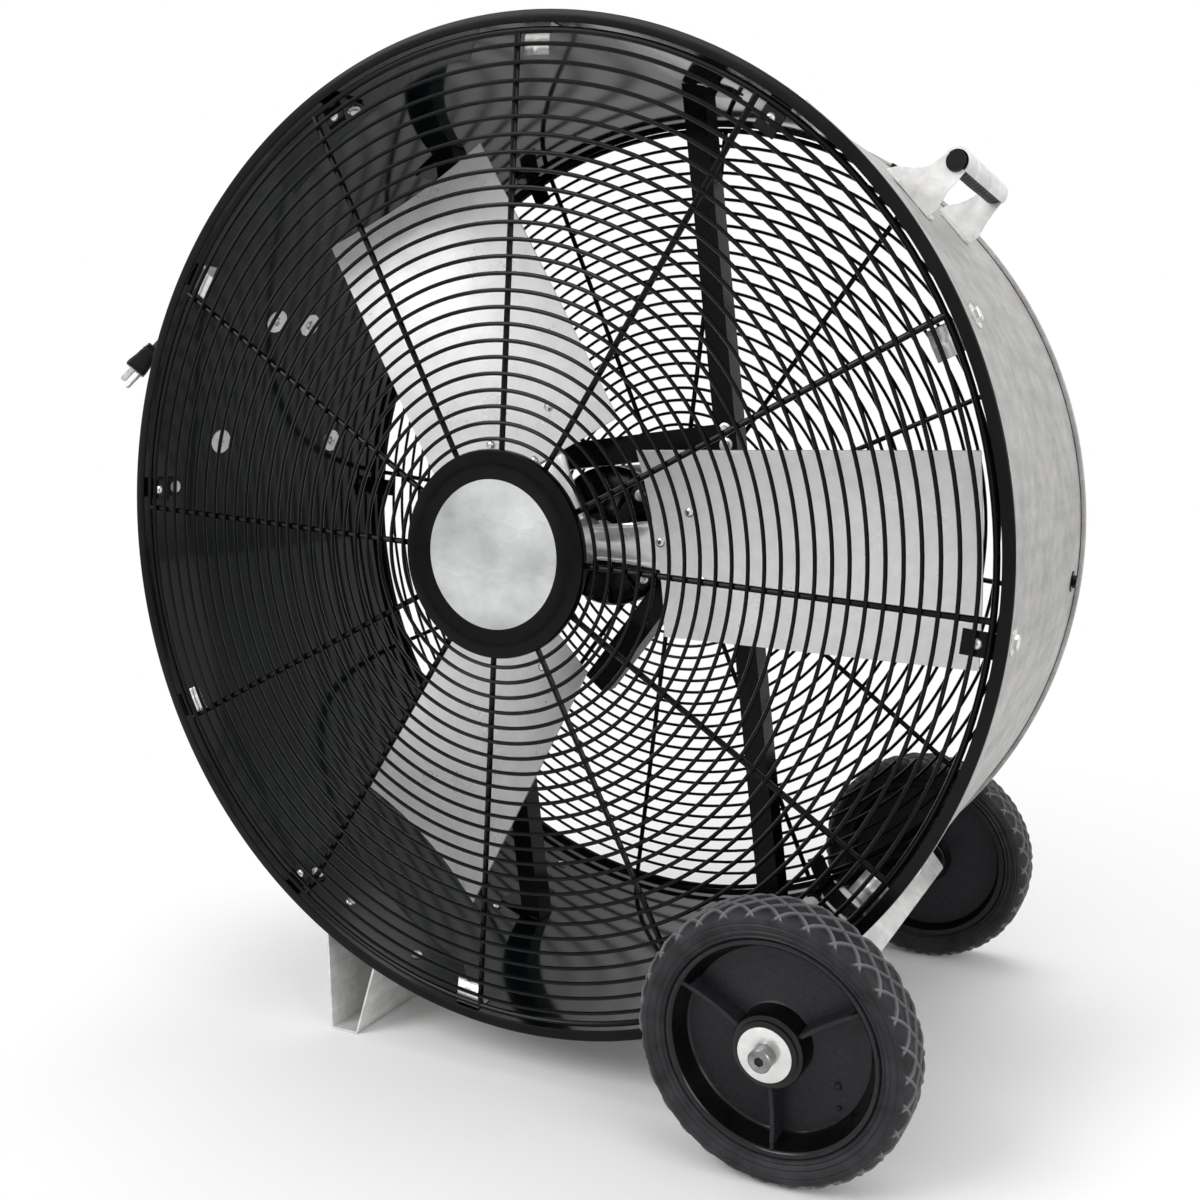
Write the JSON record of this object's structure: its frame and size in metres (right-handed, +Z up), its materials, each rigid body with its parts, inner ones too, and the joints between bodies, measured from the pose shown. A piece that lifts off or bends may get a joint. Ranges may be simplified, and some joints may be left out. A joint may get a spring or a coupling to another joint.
{
  "type": "drum fan",
  "caption": "Portable drum fan: galvanised drum with wire guards, three paddle blades, handle, foot and wheels.",
  "frame": {"origin": "on the floor, under the middle of the fan's outline seen from above, its free cord left out", "axes": "+Z up; the drum's axis lies along Y and the air leaves towards -Y; the wheels are on the +X side"},
  "size_m": [1.0373, 0.6102, 1.0404],
  "materials": {
    "drum_sheet": "galvanised outside, dark inside",
    "galvanised_steel": "galvanised",
    "black_paint": "gloss black powder coat",
    "badge_metal": "satin printed plate, bare",
    "blade_aluminium": "mill",
    "cast_aluminium": "satin",
    "bright_steel": "bright",
    "zinc_plate": "zinc plated",
    "stator_iron": "laminated core with winding",
    "wheel_rubber": "matt",
    "charcoal_plastic": "moulded",
    "black_plastic": "moulded",
    "cord_jacket": "satin jacket"
  },
  "bodies": {
    "frame": {"drum_shell": "drum_sheet", "front_rim": "black_paint", "rear_rim": "black_paint", "front_guard": "black_paint", "rear_guard": "black_paint", "badge_plate": "badge_metal", "front_clip_1": "black_paint", "front_clip_2": "black_paint", "front_clip_3": "black_paint", "front_clip_4": "black_paint", "front_clip_5": "black_paint", "front_clip_6": "black_paint", "rear_clip_1": "black_paint", "rear_clip_2": "black_paint", "rear_clip_3": "black_paint", "rear_clip_4": "black_paint", "rear_clip_5": "black_paint", "rear_clip_6": "black_paint", "motor_shell": "black_paint", "motor_front_bell": "black_paint", "motor_rear_bell": "black_paint", "motor_stator": "stator_iron", "motor_bearing_front": "bright_steel", "motor_bearing_rear": "bright_steel", "motor_lead": "cord_jacket", "strut_left": "black_paint", "strut_right": "black_paint", "motor_cross_bar": "black_paint", "motor_slant_bar": "black_paint", "foot_channel": "galvanised_steel", "axle_channel": "galvanised_steel", "axle": "bright_steel", "wheel_washer_front": "zinc_plate", "wheel_washer_rear": "zinc_plate", "axle_collar_front": "bright_steel", "axle_collar_rear": "bright_steel", "handle_bracket": "galvanised_steel", "handle_grip": "black_plastic", "switch_box": "black_paint", "switch_cover": "black_paint", "speed_switch": "black_plastic", "cord_gland": "cord_jacket", "cord_cleat_front": "galvanised_steel", "cord_cleat_rear": "galvanised_steel", "cord_coil": "cord_jacket", "cord_lead": "cord_jacket", "cord_tail": "cord_jacket", "plug": "cord_jacket"},
    "rotor": {"fan_hub": "cast_aluminium", "fan_blade_1": "blade_aluminium", "fan_blade_2": "blade_aluminium", "fan_blade_3": "blade_aluminium", "motor_shaft": "bright_steel", "motor_core": "stator_iron"},
    "wheel_front": {"wheel_hub_front": "charcoal_plastic", "wheel_tire_front": "wheel_rubber"},
    "wheel_rear": {"wheel_hub_rear": "charcoal_plastic", "wheel_tire_rear": "wheel_rubber"},
    "knob": {"speed_knob": "black_plastic"}
  },
  "joints": [
    {"name": "rotor_spin", "type": "hinge", "parent": "frame", "child": "rotor", "pos_m": [0.01609, 0, 0.54539], "axis": [0, 1, 0], "continuous": true},
    {"name": "wheel_front_spin", "type": "hinge", "parent": "frame", "child": "wheel_front", "pos_m": [0.31898, -0.2629, 0.127], "axis": [0, 1, 0], "continuous": true},
    {"name": "wheel_rear_spin", "type": "hinge", "parent": "frame", "child": "wheel_rear", "pos_m": [0.31898, 0.2629, 0.127], "axis": [0, 1, 0], "continuous": true},
    {"name": "knob_turn", "type": "hinge", "parent": "frame", "child": "knob", "pos_m": [-0.43118, -0.0228, 0.83584], "axis": [-0.8387, 0, 0.5446], "range_deg": [0, 90]}
  ]
}
